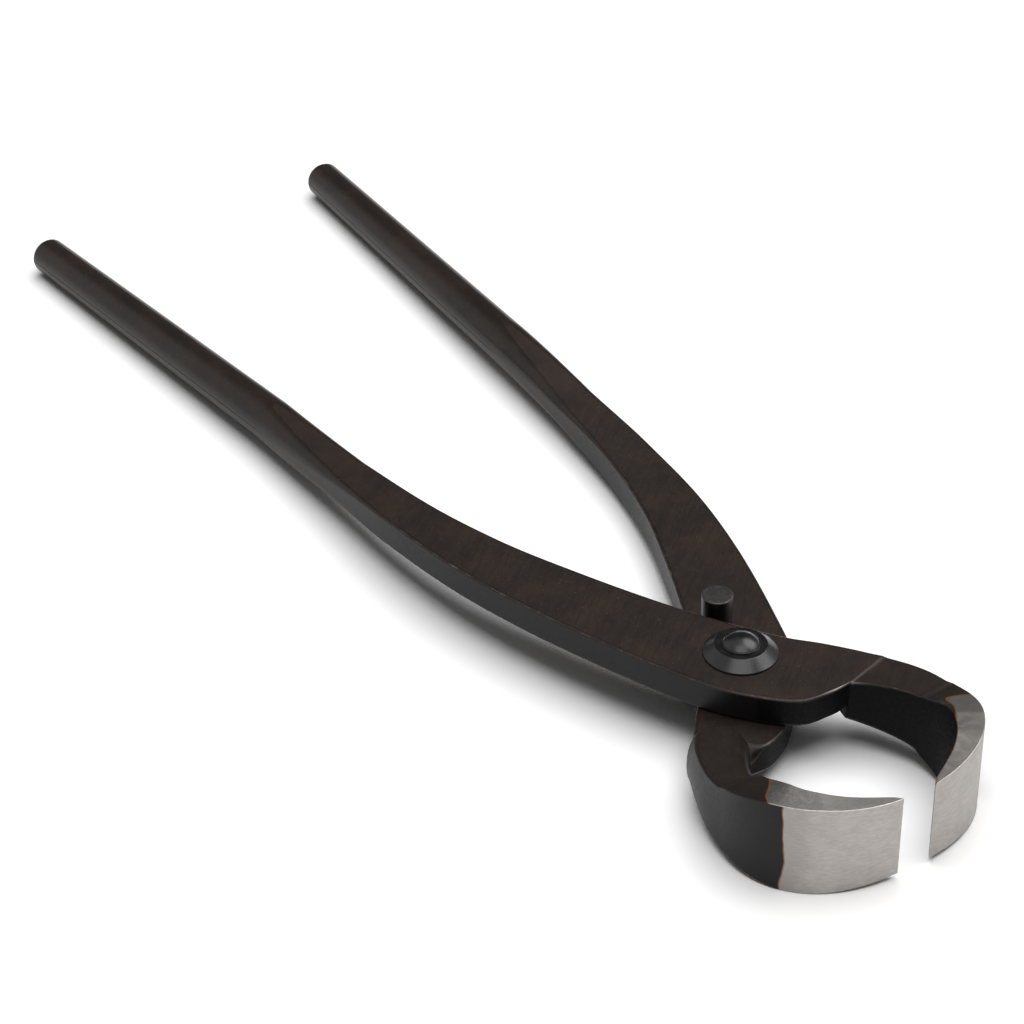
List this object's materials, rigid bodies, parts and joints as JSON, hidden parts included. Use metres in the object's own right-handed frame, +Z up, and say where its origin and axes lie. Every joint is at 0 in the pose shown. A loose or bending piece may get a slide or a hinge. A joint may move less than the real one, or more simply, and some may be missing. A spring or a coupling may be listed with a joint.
{
  "type": "root cutter",
  "caption": "Forged end-cutting pliers for roots, with long round handles, lapped and riveted plates, and curved jaws that meet edge to edge.",
  "frame": {"origin": "under the middle of the tool's box, on the surface it lies on", "axes": "+X along the tool from the handles to the cutting edges, +Y towards the lower arm's handle, +Z up along the rivet"},
  "size_m": [0.2098, 0.0614, 0.0156],
  "materials": {
    "dark_forged_steel": "black oxide on forged carbon steel, satin, ground bright on the jaws",
    "black_hardware": "blackened steel, satin"
  },
  "bodies": {
    "lower_arm_body": {"lower_arm": "dark_forged_steel", "pivot_rivet": "black_hardware", "top_washer": "black_hardware", "bottom_washer": "black_hardware", "stop_pin": "dark_forged_steel"},
    "upper_arm_body": {"upper_arm": "dark_forged_steel"}
  },
  "joints": [
    {"name": "pivot", "type": "hinge", "parent": "lower_arm_body", "child": "upper_arm_body", "pos_m": [0.06352, 0.00085, 0.0076], "axis": [0, 0, 1], "range_deg": [-7.7, 42]}
  ]
}
